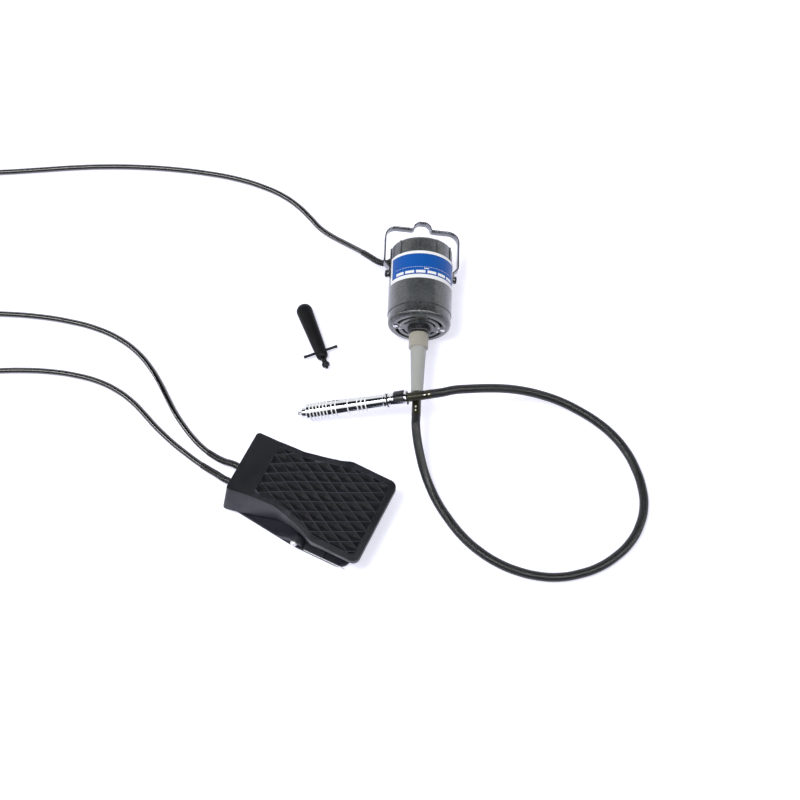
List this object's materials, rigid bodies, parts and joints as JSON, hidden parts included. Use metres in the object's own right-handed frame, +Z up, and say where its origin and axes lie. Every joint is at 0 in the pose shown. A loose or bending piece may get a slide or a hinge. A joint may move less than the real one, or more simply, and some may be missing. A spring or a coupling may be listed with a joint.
{
  "type": "rotary tool with flex shaft",
  "caption": "Hanging rotary tool: hammertone motor with a bail, sheathed flexible shaft, chrome key-chuck handpiece, foot speed control, leads and chuck key.",
  "frame": {"origin": "on the table under the middle of the set, measured without the sheath and the leads", "axes": "+Z up from the table; the motor lies along Y with its shaft end toward -Y; the foot control lies at -X, -Y"},
  "size_m": [1.0814, 0.7802, 0.0923],
  "materials": {
    "can_paint": "dark grey hammertone enamel",
    "plate_blue": "glossy printed plate, blue with a pale edge",
    "bright_steel": "polished nickel-chrome plate",
    "tool_steel": "turned and ground steel",
    "black_oxide": "black oxide steel",
    "black_plastic": "fine textured moulding",
    "grey_plastic": "smooth grey moulding",
    "sheath_rubber": "extruded rubber, satin",
    "lead_pvc": "extruded PVC, satin",
    "ferrule_brass": "dark olive blackened, crimped",
    "brass": "turned",
    "copper": "enamelled copper wire",
    "iron": "stacked electrical sheet",
    "carbon": "pressed carbon",
    "pale_nylon": "moulded nylon",
    "board_green": "solder mask",
    "pot_blue": "moulded case",
    "aluminium": "extruded",
    "foot_rubber": "moulded rubber"
  },
  "bodies": {
    "set": {"rear_cap": "can_paint", "motor_can": "can_paint", "front_bell": "can_paint", "through_bolts": "tool_steel", "name_plate": "plate_blue", "bearing_boss": "black_plastic", "motor_bearings": "tool_steel", "stator_core": "iron", "field_coils": "copper", "brush_rigging": "brass", "carbon_brushes": "carbon", "brush_springs": "tool_steel", "lead_grommet": "black_plastic", "bail_screws": "black_oxide", "connector_collar": "grey_plastic", "sheath_boot": "grey_plastic", "motor_ferrule": "ferrule_brass", "sheath": "sheath_rubber", "flex_core": "tool_steel", "handpiece_ferrule": "ferrule_brass", "pedal_base": "black_plastic", "pedal_feet": "foot_rubber", "pivot_pin": "tool_steel", "lead_bushings": "black_plastic", "control_board": "board_green", "heat_sink": "aluminium", "speed_pot": "pot_blue", "return_springs": "tool_steel", "motor_lead": "lead_pvc", "motor_lead_coil": "lead_pvc", "motor_plug": "black_plastic", "mains_lead": "lead_pvc", "mains_lead_coil": "lead_pvc", "mains_plug": "black_plastic", "outlet_lead": "lead_pvc", "outlet_lead_coil": "lead_pvc", "outlet_socket": "black_plastic"},
    "rotor": {"motor_shaft": "tool_steel", "armature_core": "iron", "armature_windings": "copper", "commutator": "copper", "cooling_fan": "pale_nylon", "shaft_coupling": "tool_steel"},
    "bail": {"bail": "bright_steel"},
    "shaft_tip": {"drive_tip": "tool_steel"},
    "handpiece": {"rear_socket": "bright_steel", "handpiece_grip": "bright_steel", "spindle_bearings": "tool_steel"},
    "button": {"release_button": "black_plastic"},
    "chuck": {"spindle": "tool_steel", "chuck_body": "tool_steel"},
    "key_ring": {"key_ring": "tool_steel"},
    "jaw_1": {"jaw_1": "tool_steel"},
    "jaw_2": {"jaw_2": "tool_steel"},
    "jaw_3": {"jaw_3": "tool_steel"},
    "treadle": {"treadle": "black_plastic"},
    "plunger": {"speed_plunger": "pale_nylon"},
    "key": {"key_handle": "black_plastic", "key_crossbar": "black_oxide", "key_pinion": "black_oxide"}
  },
  "joints": [
    {"name": "rotor_spin", "type": "hinge", "parent": "set", "child": "rotor", "pos_m": [0.10441, 0.15454, 0.046], "axis": [-0.0349, -0.9994, 0], "continuous": true},
    {"name": "shaft_tip_spin", "type": "hinge", "parent": "set", "child": "shaft_tip", "pos_m": [0.07646, -0.02543, 0.05323], "axis": [-0.9542, -0.0133, -0.2989], "continuous": true},
    {"name": "bail_swing", "type": "hinge", "parent": "set", "child": "bail", "pos_m": [0.10503, 0.17253, 0.046], "axis": [0.9897, -0.0346, -0.1392], "range_deg": [0, 135]},
    {"name": "handpiece_pull_off", "type": "slide", "parent": "set", "child": "handpiece", "axis": [-0.9542, -0.0133, -0.2989], "range_m": [0, 0.024]},
    {"name": "release_press", "type": "slide", "parent": "handpiece", "child": "button", "axis": [0.2934, -0.2378, -0.9259], "range_m": [0, 0.0015], "stiffness_N_per_m": 600, "springref_m": -0.001},
    {"name": "chuck_spin", "type": "hinge", "parent": "handpiece", "child": "chuck", "pos_m": [0.00967, -0.02637, 0.0323], "axis": [-0.9542, -0.0133, -0.2989], "continuous": true},
    {"name": "key_ring_turn", "type": "hinge", "parent": "chuck", "child": "key_ring", "pos_m": [-0.05713, -0.0273, 0.01137], "axis": [-0.9542, -0.0133, -0.2989], "range_deg": [-1203, 243]},
    {"name": "jaw_1_slide", "type": "slide", "parent": "chuck", "child": "jaw_1", "axis": [-0.9224, -0.1334, -0.3624], "range_m": [-0.00501, 0.00101]},
    {"name": "jaw_2_slide", "type": "slide", "parent": "chuck", "child": "jaw_2", "axis": [-0.9865, -0.0138, -0.1632], "range_m": [-0.00501, 0.00101]},
    {"name": "jaw_3_slide", "type": "slide", "parent": "chuck", "child": "jaw_3", "axis": [-0.9258, 0.1076, -0.3624], "range_m": [-0.00501, 0.00101]},
    {"name": "treadle_press", "type": "hinge", "parent": "set", "child": "treadle", "pos_m": [-0.03963, -0.16522, 0.018], "axis": [0.4384, 0.8988, 0], "range_deg": [0, 8], "stiffness_Nm_per_rad": 3, "springref_deg": -6.88, "deforming": ["return_springs"]},
    {"name": "plunger_slide", "type": "slide", "parent": "set", "child": "plunger", "axis": [0, 0, 1], "range_m": [-0.0062, 0]},
    {"name": "key_lift", "type": "slide", "parent": "set", "child": "key", "axis": [0, 0, 1], "range_m": [0, 0.06]}
  ],
  "couplings": [
    {"joint": "shaft_tip_spin", "follows": "rotor_spin", "ratio": 1},
    {"joint": "chuck_spin", "follows": "rotor_spin", "ratio": 1},
    {"joint": "plunger_slide", "follows": "treadle_press", "m_per_rad": -0.0415},
    {"joint": "key_ring_turn", "follows": "jaw_1_slide", "rad_per_m": 4188.8},
    {"joint": "jaw_2_slide", "follows": "jaw_1_slide", "ratio": 1},
    {"joint": "jaw_3_slide", "follows": "jaw_1_slide", "ratio": 1}
  ]
}
